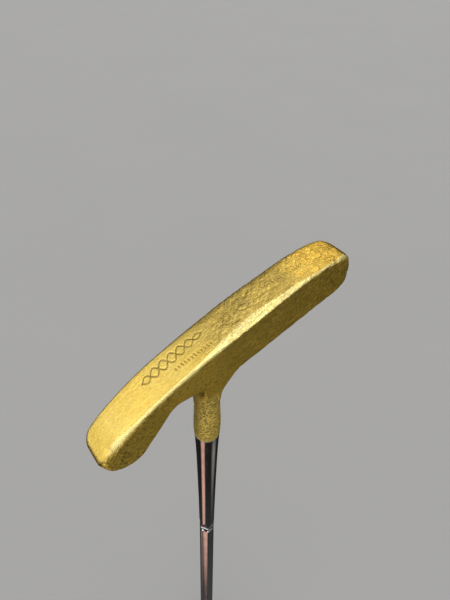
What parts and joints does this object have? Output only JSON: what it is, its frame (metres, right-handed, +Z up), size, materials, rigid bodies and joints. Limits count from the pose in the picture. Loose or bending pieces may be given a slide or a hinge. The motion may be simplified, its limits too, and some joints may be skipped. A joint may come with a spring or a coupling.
{
  "type": "blade putter",
  "caption": "Centre-shafted brass blade putter with a curved sole, barrel neck, fluted chromed steel shaft and a leather-wrapped pistol grip.",
  "frame": {"origin": "centre of the butt cap's end face, on the shaft's axis", "axes": "+Z up the shaft to the head, +X to the toe side, the front striking face looks along -Y"},
  "size_m": [0.1199, 0.0248, 0.9005],
  "materials": {
    "cast_brass": "satin, scratched and partly tarnished",
    "chromed_steel": "mirror",
    "epoxy": "cured, smooth",
    "cork": "raw",
    "paper_tape": "matte",
    "grip_rubber": "matte",
    "grip_leather": "waxed and worn",
    "binding_fabric": "woven",
    "cap_plastic": "scuffed gloss",
    "plug_wood": "raw",
    "tack_steel": "worn"
  },
  "bodies": {
    "root": {"head": "cast_brass", "shaft": "chromed_steel", "hosel_adhesive": "epoxy", "tip_plug": "cork", "grip_tape": "paper_tape", "underlisting": "grip_rubber", "leather_wrap": "grip_leather", "binding_tape": "binding_fabric", "grip_collar": "grip_rubber", "butt_cap": "cap_plastic", "butt_plug": "plug_wood", "cap_tack": "tack_steel"}
  },
  "joints": []
}
